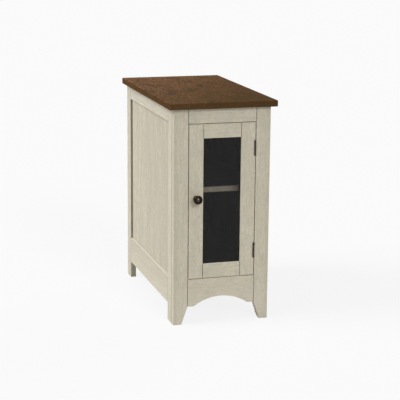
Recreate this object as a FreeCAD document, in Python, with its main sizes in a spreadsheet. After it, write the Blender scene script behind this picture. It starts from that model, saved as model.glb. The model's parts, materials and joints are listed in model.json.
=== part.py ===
import FreeCAD, Part

# Chairside cabinet: a narrow, deep storage side table with one glazed door.
#
# The carcass is a pair of frame-and-panel sides behind a front face frame, closed by a deck, a back
# panel and an overhanging top. The door is a mortised frame with a pane held by mitred beads. It is
# set flush in the face frame and turns on two butt hinges whose barrels stand proud of the face.
#
# Frame: millimetres, +Z up, +X to the right seen from the front, the front faces -Y. The origin is
# on the floor, under the middle of the overall box.

import os

import Sketcher

LEFT, RIGHT = -1, 1
ORIGIN = ("0", "0", "0")
TOUCH = 1e-4  # points nearer than this are one point

# Driving sizes in millimetres: alias, value, what it measures.
SIZES = [
    ("overall_height", "622", "floor to the surface of the top"),
    ("top_width", "305", "top, side to side"),
    ("top_depth", "559", "top, front to rear"),
    ("top_thickness", "17", "top board"),
    ("top_edge_break", "1", "chamfer on the edges of the top"),
    ("top_front_overhang", "15", "top beyond the face frame"),
    ("top_side_overhang", "15", "top beyond each side"),
    ("top_rear_overhang", "2", "top beyond the back"),
    ("face_thickness", "20", "face frame, front to rear"),
    ("face_stile_width", "41", "face frame stile"),
    ("foot_width", "23.5", "front foot at the floor"),
    ("top_rail_height", "41.2", "face frame top rail"),
    ("apron_bottom", "50.5", "floor to the apron's flat ends"),
    ("apron_height", "77.7", "apron at its ends"),
    ("arch_width", "155", "chord of the apron's arch"),
    ("arch_rise", "25", "rise of the apron's arch"),
    ("arch_corner_round", "9", "radius where the arch meets the flat ends"),
    ("edge_break", "0.8", "chamfer on front edges, half of a joint's V-groove"),
    ("tenon_thickness", "8", "tenons of the face frame and the door"),
    ("tenon_length", "18", "tenons of the face frame"),
    ("tenon_shoulder", "8", "rail left above and below each tenon"),
    ("mortise_spare", "1", "mortise beyond the tenon's end"),
    ("side_thickness", "16", "side frames"),
    ("side_front_stile_width", "39.5", "side frame, front stile"),
    ("side_rear_stile_width", "42", "side frame, rear stile"),
    ("side_top_rail_height", "42", "side frame, top rail"),
    ("side_rail_bottom", "50", "floor to the lower side rail"),
    ("side_bottom_rail_height", "76.5", "side frame, bottom rail"),
    ("side_panel_thickness", "6", "flat panel, and the tongues that share its groove"),
    ("side_panel_recess", "7", "panel behind the face of its frame"),
    ("side_groove_depth", "9", "groove round the panel"),
    ("side_edge_break", "0.5", "chamfer on the edges of the side frames"),
    ("panel_play", "0.5", "room left at a panel's or tongue's edge in its groove"),
    ("corner_tongue_thickness", "6", "tongue of a side in the face frame"),
    ("corner_tongue_depth", "8", "that tongue, front to rear"),
    ("corner_tongue_bottom", "130", "floor to that tongue"),
    ("corner_tongue_top", "25", "that tongue to the top of the carcass"),
    ("back_panel_thickness", "5", "back panel and the depth of its rebate"),
    ("back_rebate_width", "9", "rebate for the back panel"),
    ("back_panel_bottom", "88", "floor to the back panel"),
    ("back_rail_thickness", "18", "rails behind which the back panel lies"),
    ("back_top_rail_height", "42", "rear top rail"),
    ("housing_depth", "6", "rail ends let into the side stiles"),
    ("stretcher_thickness", "18", "stretcher behind the face frame's top rail"),
    ("deck_thickness", "15", "floor of the cabinet"),
    ("cleat_size", "18", "square cleats under the deck and the top"),
    ("corner_block_leg", "24", "corner block, along each wall"),
    ("corner_block_height", "38", "corner block"),
    ("shelf_top", "380.2", "floor to the surface of the shelf"),
    ("shelf_thickness", "14", "shelf board"),
    ("shelf_setback", "12", "shelf behind the face frame"),
    ("shelf_play", "1.2", "room at the shelf's ends and rear"),
    ("lipping_depth", "6", "strip along the shelf's front edge"),
    ("shelf_pin_diameter", "5", "peg of a shelf pin"),
    ("shelf_pin_depth", "8", "peg in the stile"),
    ("shelf_pin_play", "0.1", "room round and behind the peg"),
    ("shelf_pin_front", "20", "face frame to the front pins"),
    ("shelf_pin_rear", "17", "back panel to the rear pins"),
    ("shelf_tab_length", "10", "tab of a shelf pin under the shelf"),
    ("shelf_tab_width", "9", "tab of a shelf pin"),
    ("shelf_tab_thickness", "1.8", "tab of a shelf pin"),
    ("door_gap", "1.8", "gap round the door"),
    ("door_thickness", "20", "door frame"),
    ("door_stile_width", "41", "door stile"),
    ("door_top_rail_height", "39.4", "door, top rail"),
    ("door_bottom_rail_height", "41", "door, bottom rail"),
    ("door_tenon_length", "12", "tenons of the door rails"),
    ("door_lip", "4", "wood in front of the pane"),
    ("glass_thickness", "3", "pane"),
    ("glass_rebate", "8", "rebate that holds the pane and its beads"),
    ("glass_play", "1", "room at the edges of the pane"),
    ("bead_depth", "12.5", "beads behind the pane"),
    ("knob_height", "357.5", "floor to the centre of the knob"),
    ("knob_projection", "25", "knob in front of the door"),
    ("knob_diameter", "25", "head of the knob"),
    ("knob_head_thickness", "8", "head of the knob"),
    ("knob_rim_slope", "2", "slope under the head's rim"),
    ("knob_ring_diameter", "18", "ring on the knob's face"),
    ("knob_ring_depth", "1.6", "dish inside the ring"),
    ("knob_boss_diameter", "10", "boss at the centre of the knob"),
    ("knob_neck_diameter", "9", "neck of the knob"),
    ("knob_base_diameter", "16", "foot of the knob"),
    ("knob_base_thickness", "2", "foot of the knob"),
    ("knob_bore_depth", "11", "threaded hole in the knob"),
    ("knob_screw_diameter", "3.9", "machine screw that holds the knob"),
    ("knob_screw_head", "8", "its head"),
    ("knob_screw_head_height", "2.4", "its head"),
    ("knob_screw_reach", "9", "its thread inside the knob"),
    ("knob_screw_play", "0.1", "radial room round that screw"),
    ("hinge_height", "40", "barrel of a hinge"),
    ("hinge_inset", "51.6", "door's end to the hinge barrel"),
    ("hinge_barrel_diameter", "5", "barrel of a hinge"),
    ("hinge_pin_diameter", "2.4", "hinge pin"),
    ("hinge_tip_diameter", "4.4", "ball tips of the pin"),
    ("hinge_pin_play", "0.05", "radial room between pin and knuckles"),
    ("hinge_knuckles", "5", "knuckles of one hinge, an odd number"),
    ("hinge_knuckle_gap", "0.2", "axial room between knuckles"),
    ("hinge_proud", "1.5", "pin's axis in front of the face"),
    ("hinge_stile_clearance", "0.5", "barrel to the face frame's edge"),
    ("hinge_relief", "0.3", "room round a turning knuckle"),
    ("hinge_leaf_thickness", "1", "hinge leaf"),
    ("hinge_leaf_depth", "17", "pin's axis to the leaf's rear edge"),
    ("strike_width", "22", "steel plate on the door for the catch"),
    ("strike_height", "12", "steel plate on the door for the catch"),
    ("strike_thickness", "1.2", "steel plate on the door for the catch"),
    ("strike_drop", "3", "stretcher's lower face to the top of the plate"),
    ("catch_gap", "0.3", "magnet to the plate with the door shut"),
    ("catch_width", "24", "housing of the magnetic catch"),
    ("catch_height", "13", "housing of the magnetic catch"),
    ("catch_depth", "13", "housing of the magnetic catch"),
    ("catch_ear_width", "44", "flange that fixes the housing"),
    ("catch_ear_thickness", "2.2", "flange that fixes the housing"),
    ("magnet_width", "18", "magnet with its pole plates"),
    ("magnet_height", "6", "magnet with its pole plates"),
    ("magnet_depth", "9", "magnet inside the housing"),
    ("magnet_proud", "0.8", "magnet in front of the housing"),
]

# Places and sizes that follow from the driving ones.
CARCASS_TOP = "(size.overall_height - size.top_thickness)"
CARCASS_DEPTH = "(size.top_depth - size.top_front_overhang - size.top_rear_overhang)"
REACH = "max(size.knob_projection; size.top_front_overhang)"
FRONT = f"(({REACH} - {CARCASS_DEPTH} - size.top_rear_overhang) / 2)"
BACK = f"({FRONT} + {CARCASS_DEPTH})"
FACE_BACK = f"({FRONT} + size.face_thickness)"
PANEL_FRONT = f"({BACK} - size.back_panel_thickness)"
RAIL_FRONT = f"({PANEL_FRONT} - size.back_rail_thickness)"

SIDE_X = "(size.top_width / 2 - size.top_side_overhang)"
INSIDE_X = f"({SIDE_X} - size.side_thickness)"
HOUSING_X = f"({INSIDE_X} + size.housing_depth)"
OPENING_X = f"({SIDE_X} - size.face_stile_width)"
OPENING_BOTTOM = "(size.apron_bottom + size.apron_height)"
OPENING_TOP = f"({CARCASS_TOP} - size.top_rail_height)"
DECK_BOTTOM = f"({OPENING_BOTTOM} - size.deck_thickness)"
SHELF_BOTTOM = "(size.shelf_top - size.shelf_thickness)"

SIDE_RAIL_TOP = "(size.side_rail_bottom + size.side_bottom_rail_height)"
SIDE_TOP_RAIL_BOTTOM = f"({CARCASS_TOP} - size.side_top_rail_height)"
SIDE_RAIL_START = f"({FACE_BACK} + size.side_front_stile_width)"
SIDE_RAIL_LENGTH = f"({BACK} - size.side_rear_stile_width - {SIDE_RAIL_START})"
TONGUE = "(size.side_groove_depth - size.panel_play)"

DOOR_X = f"({OPENING_X} - size.door_gap)"
DOOR_BOTTOM = f"({OPENING_BOTTOM} + size.door_gap)"
DOOR_TOP = f"({OPENING_TOP} - size.door_gap)"
DOOR_HEIGHT = f"({DOOR_TOP} - {DOOR_BOTTOM})"
SIGHT_X = f"({DOOR_X} - size.door_stile_width)"
SIGHT_BOTTOM = f"({DOOR_BOTTOM} + size.door_bottom_rail_height)"
SIGHT_TOP = f"({DOOR_TOP} - size.door_top_rail_height)"
REBATE_X = f"({SIGHT_X} + size.glass_rebate)"
REBATE_BOTTOM = f"({SIGHT_BOTTOM} - size.glass_rebate)"
REBATE_TOP = f"({SIGHT_TOP} + size.glass_rebate)"
DOOR_BACK = f"({FRONT} + size.door_thickness)"
KNOB_X = f"({DOOR_X} - size.door_stile_width / 2)"
KNOB_BORE = "(size.knob_screw_diameter / 2 + size.knob_screw_play)"

BARREL = "(size.hinge_barrel_diameter / 2)"
RELIEF = f"({BARREL} + size.hinge_relief)"
HINGE_X = f"({OPENING_X} - size.hinge_stile_clearance - {BARREL})"
HINGE_Y = f"({FRONT} - size.hinge_proud)"
HINGE_BOTTOM = f"({DOOR_BOTTOM} + size.hinge_inset)"
HINGE_SPACING = f"({DOOR_HEIGHT} - 2 * size.hinge_inset - size.hinge_height)"
KNUCKLE = "(size.hinge_height / size.hinge_knuckles)"

CLEAT_LENGTH = f"({RAIL_FRONT} - {FACE_BACK})"
TOP_CLEAT_START = f"({FACE_BACK} + size.stretcher_thickness)"
TOP_CLEAT_LENGTH = f"({RAIL_FRONT} - {TOP_CLEAT_START})"
STRIKE_X = f"(({DOOR_X} + {REBATE_X}) / 2)"
CATCH_Y = f"({DOOR_BACK} + size.strike_thickness + size.catch_gap + size.magnet_proud)"
STRIKE_Z = f"({OPENING_TOP} - size.strike_drop - size.strike_height / 2)"

document = FreeCAD.newDocument("chairside_cabinet")
sheet = document.addObject("Spreadsheet::Sheet", "size")
for row, (alias, number, meaning) in enumerate(SIZES, 1):
    sheet.set(f"A{row}", meaning)
    sheet.set(f"B{row}", number)
    sheet.setAlias(f"B{row}", alias)
document.recompute()


# ---- sketches and features ----

def value(expression):
    """An expression's value in millimetres."""
    return float(sheet.evalExpression(expression))


def near(first, second):
    return abs(first - second) < TOUCH


def origin_feature(body, role):
    """One of a body's own origin planes or axes."""
    return next(item for item in body.Origin.OriginFeatures if item.Role == role)


def new_body(label, x="0", y="0", z="0"):
    """An empty body whose origin is placed by three expressions."""
    body = document.addObject("PartDesign::Body", label)
    body.Label = label
    for axis, expression in zip("xyz", (x, y, z)):
        body.setExpression(f"Placement.Base.{axis}", expression)
    return body


def new_sketch(body, plane, at):
    """A sketch parallel to an origin plane, with its own origin at a point of the body."""
    sketch = body.newObject("Sketcher::SketchObject", "Sketch")
    sketch.AttachmentSupport = [(origin_feature(body, plane), "")]
    sketch.MapMode = "FlatFace"
    x, y, z = at
    local = {"XY_Plane": (x, y, z), "XZ_Plane": (x, z, f"-({y})"), "YZ_Plane": (y, z, x)}[plane]
    for axis, expression in zip("xyz", local):
        sketch.setExpression(f"AttachmentOffset.Base.{axis}", expression)
    return sketch


def dimension(sketch, kind, expression, *items):
    """A driving dimension of a sketch, bound to an expression."""
    index = sketch.addConstraint(Sketcher.Constraint(kind, *items, value(expression)))
    name = f"{kind}{index}"
    sketch.renameConstraint(index, name)
    sketch.setExpression(f"Constraints.{name}", expression)


def fix_point(sketch, item, point, place):
    """Measure a point from the sketch's origin."""
    for kind, expression in zip(("DistanceX", "DistanceY"), place):
        dimension(sketch, kind, expression, -1, 1, item, point)


def draw_circle(sketch, place, radius):
    centre = FreeCAD.Vector(*(value(number) for number in place), 0)
    item = sketch.addGeometry(Part.Circle(centre, FreeCAD.Vector(0, 0, 1), value(radius)))
    fix_point(sketch, item, 3, place)
    dimension(sketch, "Radius", radius, item)


def draw_outline(sketch, corners):
    """A closed outline. A corner is (x, y), or (x, y, centre, turn) where an arc about a centre
    leads on to the next corner, anticlockwise if turn is 1 and clockwise if it is -1."""
    places = [FreeCAD.Vector(value(corner[0]), value(corner[1]), 0) for corner in corners]
    ends = []
    for index, corner in enumerate(corners):
        start, stop = places[index], places[(index + 1) % len(corners)]
        if len(corner) == 2:
            item = sketch.addGeometry(Part.LineSegment(start, stop))
            ends.append((item, 1, 2))
            continue
        centre = FreeCAD.Vector(*(value(number) for number in corner[2]), 0)
        first, last = (start, stop) if corner[3] > 0 else (stop, start)
        angles = [FreeCAD.Vector(1, 0, 0).getAngle(end - centre) for end in (first, last)]
        angles = [angle if end.y >= centre.y else -angle for angle, end in zip(angles, (first, last))]
        circle = Part.Circle(centre, FreeCAD.Vector(0, 0, 1), (start - centre).Length)
        item = sketch.addGeometry(Part.ArcOfCircle(circle, *angles))
        ends.append((item, 1, 2) if corner[3] > 0 else (item, 2, 1))
        chord = stop - start
        kind = 1 if abs(chord.x) > abs(chord.y) else 0
        dimension(sketch, ("DistanceX", "DistanceY")[kind], corner[2][kind], -1, 1, item, 3)
    for index, (item, start, stop) in enumerate(ends):
        following = ends[(index + 1) % len(ends)]
        sketch.addConstraint(Sketcher.Constraint("Coincident", item, stop, following[0], following[1]))
        fix_point(sketch, item, start, corners[index][:2])


def extrude(body, kind, plane, length, drawing, *shape, at=ORIGIN):
    """A Pad or Pocket from a sketch at a point, along the positive direction of its axis."""
    sketch = new_sketch(body, plane, at)
    drawing(sketch, *shape)
    feature = body.newObject(f"PartDesign::{kind}", kind)
    feature.Profile = sketch
    feature.Reversed = (plane == "XZ_Plane") != (kind == "Pocket")
    feature.setExpression("Length", length)
    document.recompute()
    return feature


def block(body, kind, corner, extent):
    """A rectangular Pad or Pocket from its lowest corner."""
    width, depth, height = extent
    corners = [("0", "0"), (width, "0"), (width, depth), ("0", depth)]
    return extrude(body, kind, "XY_Plane", height, draw_outline, corners, at=corner)


def round_bar(body, kind, plane, centre, radius, length):
    """A round Pad or Pocket from the centre of its first end."""
    return extrude(body, kind, plane, length, draw_circle, ("0", "0"), radius, at=centre)


def revolve(body, plane, axis, corners, at=ORIGIN):
    """An outline turned once round an axis of its own sketch."""
    sketch = new_sketch(body, plane, at)
    draw_outline(sketch, corners)
    feature = body.newObject("PartDesign::Revolution", "Revolution")
    feature.Profile = sketch
    feature.ReferenceAxis = (sketch, [axis])
    feature.Angle = 360
    document.recompute()
    return feature


def repeat(body, features, *steps):
    """Copy features: each step is a mirror plane, or an axis with a span and a number of copies."""
    copies = body.newObject("PartDesign::MultiTransform", "Copies")
    copies.Originals = features
    transformations = []
    for step in steps:
        if isinstance(step, str):
            item = body.newObject("PartDesign::Mirrored", "Mirrored")
            item.MirrorPlane = (origin_feature(body, step), [""])
        else:
            axis, span, count = step
            item = body.newObject("PartDesign::LinearPattern", "LinearPattern")
            item.Direction = (origin_feature(body, axis), [""])
            item.setExpression("Length", span)
            item.setExpression("Occurrences", count)
        transformations.append(item)
    copies.Transformations = transformations
    body.Tip = copies
    document.recompute()


def break_edges(body, kind, amount, wanted):
    """Chamfer or fillet the edges whose end points pass a test."""
    base = body.Tip
    names = []
    for number, edge in enumerate(base.Shape.Edges, 1):
        if wanted([vertex.Point for vertex in edge.Vertexes]):
            names.append(f"Edge{number}")
    feature = body.newObject(f"PartDesign::{kind}", kind)
    feature.Base = (base, names)
    feature.setExpression("Size" if kind == "Chamfer" else "Radius", amount)
    document.recompute()


def on_plane(axis, *skipped_heights):
    """Test for edges on the plane where an axis is zero, without those level at some heights."""
    def test(ends):
        flat = all(near(getattr(end, axis), 0) for end in ends)
        level = [all(near(end.z, height) for end in ends) for height in skipped_heights]
        return flat and not any(level)
    return test


def from_outside(side, near_face, far_face):
    """Lowest x of a stretch given by its distances inward from a side's outer face."""
    return near_face if side == LEFT else f"-({far_face})"


def side_name(side):
    return "left" if side == LEFT else "right"


# ---- face frame ----

def mortise(body, side, edge, thickness, height, bottom, length):
    """A mortise in a stile's inner edge, which lies `edge` inward from the stile's outer face."""
    depth = f"({length} + size.mortise_spare)"
    corner = (
        from_outside(side, f"{edge} - {depth}", edge),
        f"({thickness} - size.tenon_thickness) / 2",
        f"{bottom} + size.tenon_shoulder",
    )
    extent = (depth, "size.tenon_thickness", f"{height} - 2 * size.tenon_shoulder")
    block(body, "Pocket", corner, extent)


def tenons(body, shoulder, thickness, height, length):
    """A tenon at each end of a rail whose shoulders lie at plus and minus `shoulder`."""
    corner = (shoulder, f"({thickness} - size.tenon_thickness) / 2", "size.tenon_shoulder")
    extent = (length, "size.tenon_thickness", f"{height} - 2 * size.tenon_shoulder")
    repeat(body, [block(body, "Pad", corner, extent)], "YZ_Plane")


def face_stile(side):
    """Stile of the face frame; below the apron its inner edge tapers to the foot."""
    body = new_body(f"face_stile_{side_name(side)}", f"{side} * {SIDE_X}", FRONT)
    width = "size.face_stile_width"
    corners = [
        ("0", "0"),
        (f"{-side} * size.foot_width", "0"),
        (f"{-side} * {width}", "size.apron_bottom"),
        (f"{-side} * {width}", CARCASS_TOP),
        ("0", CARCASS_TOP),
    ]
    extrude(body, "Pad", "XZ_Plane", "size.face_thickness", draw_outline, corners)
    for height, bottom in (("size.apron_height", "size.apron_bottom"),
                           ("size.top_rail_height", OPENING_TOP)):
        mortise(body, side, width, "size.face_thickness", height, bottom, "size.tenon_length")
    groove_depth = "(size.corner_tongue_depth + size.panel_play)"
    corner_tongue(body, side, "Pocket", f"size.face_thickness - {groove_depth}", groove_depth, "0")
    front = on_plane("y", 0, value(CARCASS_TOP))
    rear = value("size.face_thickness")

    def wanted(ends):
        joint = all(near(end.y, rear) and near(end.x, 0) for end in ends)
        return front(ends) or joint
    break_edges(body, "Chamfer", "size.edge_break", wanted)


def corner_tongue(body, side, kind, y, depth, end_play):
    """The tongue on a side's front edge, or the stopped groove that takes it."""
    inset = "((size.side_thickness - size.corner_tongue_thickness) / 2)"
    x = from_outside(side, inset, f"{inset} + size.corner_tongue_thickness")
    height = f"{CARCASS_TOP} - size.corner_tongue_top - size.corner_tongue_bottom"
    block(body, kind, (x, y, f"size.corner_tongue_bottom + {end_play}"),
          ("size.corner_tongue_thickness", depth, f"{height} - 2 * {end_play}"))


def face_top_rail():
    """Top rail of the face frame."""
    body = new_body("face_top_rail", "0", FRONT, OPENING_TOP)
    block(body, "Pad", (f"-{OPENING_X}", "0", "0"),
          (f"2 * {OPENING_X}", "size.face_thickness", "size.top_rail_height"))
    break_edges(body, "Chamfer", "size.edge_break", on_plane("y", value("size.top_rail_height")))
    tenons(body, OPENING_X, "size.face_thickness", "size.top_rail_height", "size.tenon_length")


def face_apron():
    """Bottom rail of the face frame, cut to an arch between flat ends."""
    body = new_body("face_apron", "0", FRONT, "size.apron_bottom")
    half = "size.arch_width / 2"
    radius = f"((({half}) ^ 2 + size.arch_rise ^ 2) / (2 * size.arch_rise))"
    centre = ("0", f"size.arch_rise - {radius}")
    corners = [
        (f"-{OPENING_X}", "0"),
        (f"-{half}", "0", centre, -1),
        (half, "0"),
        (OPENING_X, "0"),
        (OPENING_X, "size.apron_height"),
        (f"-{OPENING_X}", "size.apron_height"),
    ]
    extrude(body, "Pad", "XZ_Plane", "size.face_thickness", draw_outline, corners)
    arch_end = value(half)

    def arch_corner(ends):
        across = near(ends[0].x, ends[-1].x)
        return across and all(near(abs(end.x), arch_end) and near(end.z, 0) for end in ends)
    break_edges(body, "Fillet", "size.arch_corner_round", arch_corner)
    break_edges(body, "Chamfer", "size.edge_break", on_plane("y"))
    tenons(body, OPENING_X, "size.face_thickness", "size.apron_height", "size.tenon_length")


# ---- sides ----

def panel_groove(body, side, start, extent):
    """The groove for the panel and the tongues, in plan at its distance from the outer face."""
    x = from_outside(side, "size.side_panel_recess",
                     "size.side_panel_recess + size.side_panel_thickness")
    block(body, "Pocket", (x, *start), ("size.side_panel_thickness", *extent))


def housing(body, side, y, z, depth, height):
    """A recess in a stile's inner face for the end of a rail."""
    x = from_outside(side, "size.side_thickness - size.housing_depth", "size.side_thickness")
    block(body, "Pocket", (x, y, z), ("size.housing_depth", depth, height))


def shelf_pin_hole(body, side, y):
    """A hole in a stile's inner face for a shelf pin."""
    depth = "(size.shelf_pin_depth + size.shelf_pin_play)"
    radius = "size.shelf_pin_diameter / 2"
    x = from_outside(side, f"size.side_thickness - {depth}", "size.side_thickness")
    centre = (x, y, f"{SHELF_BOTTOM} - {radius}")
    round_bar(body, "Pocket", "YZ_Plane", centre, f"{radius} + size.shelf_pin_play", depth)


def side_front_stile(side):
    """Front stile of a side frame, which is also the rear half of the front leg."""
    body = new_body(f"side_{side_name(side)}_front_stile", f"{side} * {SIDE_X}", FACE_BACK)
    width = "size.side_front_stile_width"
    block(body, "Pad", (from_outside(side, "0", "size.side_thickness"), "0", "0"),
          ("size.side_thickness", width, CARCASS_TOP))
    break_edges(body, "Chamfer", "size.side_edge_break", on_plane("x", 0, value(CARCASS_TOP)))
    panel_groove(body, side, (f"{width} - size.side_groove_depth", "size.side_rail_bottom"),
                 ("size.side_groove_depth", f"{CARCASS_TOP} - size.side_rail_bottom"))
    housing(body, side, "0", OPENING_TOP, "size.stretcher_thickness", "size.top_rail_height")
    shelf_pin_hole(body, side, "size.shelf_pin_front")
    corner_tongue(body, side, "Pad", "-size.corner_tongue_depth", "size.corner_tongue_depth",
                  "size.panel_play")


def side_rear_stile(side):
    """Rear stile of a side frame, rebated for the back panel."""
    start = f"{BACK} - size.side_rear_stile_width"
    body = new_body(f"side_{side_name(side)}_rear_stile", f"{side} * {SIDE_X}", start)
    width = "size.side_rear_stile_width"
    block(body, "Pad", (from_outside(side, "0", "size.side_thickness"), "0", "0"),
          ("size.side_thickness", width, CARCASS_TOP))
    break_edges(body, "Chamfer", "size.side_edge_break", on_plane("x", 0, value(CARCASS_TOP)))
    panel_groove(body, side, ("0", "size.side_rail_bottom"),
                 ("size.side_groove_depth", f"{CARCASS_TOP} - size.side_rail_bottom"))
    rebate_x = from_outside(side, "size.side_thickness - size.back_rebate_width",
                            "size.side_thickness")
    block(body, "Pocket", (rebate_x, f"{width} - size.back_panel_thickness", "size.back_panel_bottom"),
          ("size.back_rebate_width", "size.back_panel_thickness",
           f"{CARCASS_TOP} - size.back_panel_bottom"))
    rail_y = f"{width} - size.back_panel_thickness - size.back_rail_thickness"
    for bottom, height in (("size.side_rail_bottom", f"{DECK_BOTTOM} - size.side_rail_bottom"),
                           (f"{CARCASS_TOP} - size.back_top_rail_height", "size.back_top_rail_height")):
        housing(body, side, rail_y, bottom, "size.back_rail_thickness", height)
    shelf_pin_hole(body, side, f"{width} - size.back_panel_thickness - size.shelf_pin_rear")


def side_rail(side, name, bottom, height, groove_bottom):
    """Rail of a side frame, with a tongue at each end and a groove for the panel."""
    body = new_body(f"side_{side_name(side)}_{name}", f"{side} * {SIDE_X}", SIDE_RAIL_START, bottom)
    block(body, "Pad", (from_outside(side, "0", "size.side_thickness"), "0", "0"),
          ("size.side_thickness", SIDE_RAIL_LENGTH, height))
    free_edge = 0 if value(groove_bottom) > 0 else value(height)
    break_edges(body, "Chamfer", "size.side_edge_break", on_plane("x", free_edge))
    tongue_x = from_outside(side, "size.side_panel_recess",
                            "size.side_panel_recess + size.side_panel_thickness")
    block(body, "Pad", (tongue_x, f"-{TONGUE}", "0"),
          ("size.side_panel_thickness", f"{SIDE_RAIL_LENGTH} + 2 * {TONGUE}", height))
    panel_groove(body, side, (f"-{TONGUE}", groove_bottom),
                 (f"{SIDE_RAIL_LENGTH} + 2 * {TONGUE}", "size.side_groove_depth"))


def side_rails(side):
    height = "size.side_bottom_rail_height"
    side_rail(side, "bottom_rail", "size.side_rail_bottom", height, f"{height} - size.side_groove_depth")
    side_rail(side, "top_rail", SIDE_TOP_RAIL_BOTTOM, "size.side_top_rail_height", "0")


def side_panel(side):
    """Flat panel, loose in the grooves of its frame."""
    x = f"{side} * ({SIDE_X} - size.side_panel_recess)"
    body = new_body(f"side_{side_name(side)}_panel", x, f"{SIDE_RAIL_START} - {TONGUE}",
                    f"{SIDE_RAIL_TOP} - {TONGUE}")
    height = f"{SIDE_TOP_RAIL_BOTTOM} - {SIDE_RAIL_TOP} + 2 * {TONGUE}"
    block(body, "Pad", (from_outside(side, "0", "size.side_panel_thickness"), "0", "0"),
          ("size.side_panel_thickness", f"{SIDE_RAIL_LENGTH} + 2 * {TONGUE}", height))


# ---- back, deck, top and shelf ----

def cross_rail(label, y, z, half_length, thickness, height):
    """A plain board from side to side."""
    body = new_body(label, "0", y, z)
    block(body, "Pad", (f"-{half_length}", "0", "0"), (f"2 * {half_length}", thickness, height))


def front_stretcher():
    """Rail behind the face frame's top rail, which also carries the catch."""
    cross_rail("front_stretcher", FACE_BACK, OPENING_TOP, HOUSING_X, "size.stretcher_thickness",
               "size.top_rail_height")


def back_rails():
    cross_rail("back_top_rail", RAIL_FRONT, f"{CARCASS_TOP} - size.back_top_rail_height", HOUSING_X,
               "size.back_rail_thickness", "size.back_top_rail_height")
    cross_rail("back_bottom_rail", RAIL_FRONT, "size.side_rail_bottom", HOUSING_X,
               "size.back_rail_thickness", f"{DECK_BOTTOM} - size.side_rail_bottom")


def back_panel():
    """Thin panel in the rebates of the rear stiles."""
    half = f"({INSIDE_X} + size.back_rebate_width - size.panel_play)"
    cross_rail("back_panel", PANEL_FRONT, "size.back_panel_bottom", half, "size.back_panel_thickness",
               f"{CARCASS_TOP} - size.back_panel_bottom")


def deck():
    """Floor of the cabinet, level with the top of the apron."""
    cross_rail("deck_panel", FACE_BACK, DECK_BOTTOM, INSIDE_X, f"{PANEL_FRONT} - {FACE_BACK}",
               "size.deck_thickness")


def cleat(label, side, start, bottom, length):
    """A square cleat along the inside of a side."""
    body = new_body(f"{label}_{side_name(side)}", f"{side} * {INSIDE_X}", start, bottom)
    block(body, "Pad", (from_outside(side, "0", "size.cleat_size"), "0", "0"),
          ("size.cleat_size", length, "size.cleat_size"))


def cleats(side):
    """One cleat under the deck, and one that carries the top between its stretchers."""
    cleat("deck_cleat", side, FACE_BACK, f"{DECK_BOTTOM} - size.cleat_size", CLEAT_LENGTH)
    cleat("top_cleat", side, TOP_CLEAT_START, f"{CARCASS_TOP} - size.cleat_size", TOP_CLEAT_LENGTH)


def corner_blocks():
    """Glued blocks in the corners under the deck cleats."""
    middle = f"(({FACE_BACK} + {RAIL_FRONT}) / 2)"
    half = f"({CLEAT_LENGTH} / 2)"
    body = new_body("corner_blocks", "0", middle,
                    f"{DECK_BOTTOM} - size.cleat_size - size.corner_block_height")
    corners = [
        (f"-{INSIDE_X}", f"-{half}"),
        (f"-{INSIDE_X} + size.corner_block_leg", f"-{half}"),
        (f"-{INSIDE_X}", f"-{half} + size.corner_block_leg"),
    ]
    first = extrude(body, "Pad", "XY_Plane", "size.corner_block_height", draw_outline, corners)
    repeat(body, [first], "YZ_Plane", "XZ_Plane")


def top_panel():
    """Overhanging top with broken edges."""
    body = new_body("top_panel", "0", f"{FRONT} - size.top_front_overhang", CARCASS_TOP)
    block(body, "Pad", ("-size.top_width / 2", "0", "0"),
          ("size.top_width", "size.top_depth", "size.top_thickness"))
    break_edges(body, "Chamfer", "size.top_edge_break", lambda ends: True)


def shelf():
    """Shelf board and the strip on its front edge."""
    half = f"({INSIDE_X} - size.shelf_play)"
    front = f"({FACE_BACK} + size.shelf_setback)"
    cross_rail("shelf_lipping", front, SHELF_BOTTOM, half, "size.lipping_depth", "size.shelf_thickness")
    board_front = f"({front} + size.lipping_depth)"
    cross_rail("shelf_board", board_front, SHELF_BOTTOM, half,
               f"{PANEL_FRONT} - size.shelf_play - {board_front}", "size.shelf_thickness")


def shelf_pins():
    """Four pins in the side stiles, each with a flat tab under the shelf."""
    body = new_body("shelf_pins", "0", f"{FACE_BACK} + size.shelf_pin_front", SHELF_BOTTOM)
    radius = "size.shelf_pin_diameter / 2"
    root = "size.shelf_tab_length / 2"
    peg = round_bar(body, "Pad", "YZ_Plane", (f"{INSIDE_X} - {root}", "0", f"-{radius}"), radius,
                    f"{root} + size.shelf_pin_depth")
    corner = (f"{INSIDE_X} - size.shelf_tab_length", "-size.shelf_tab_width / 2",
              "-size.shelf_tab_thickness")
    tab = block(body, "Pad", corner,
                ("size.shelf_tab_length", "size.shelf_tab_width", "size.shelf_tab_thickness"))
    span = f"({PANEL_FRONT} - size.shelf_pin_rear - {FACE_BACK} - size.shelf_pin_front)"
    repeat(body, [peg, tab], "YZ_Plane", ("Y_Axis", span, "2"))


# ---- door ----

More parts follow.
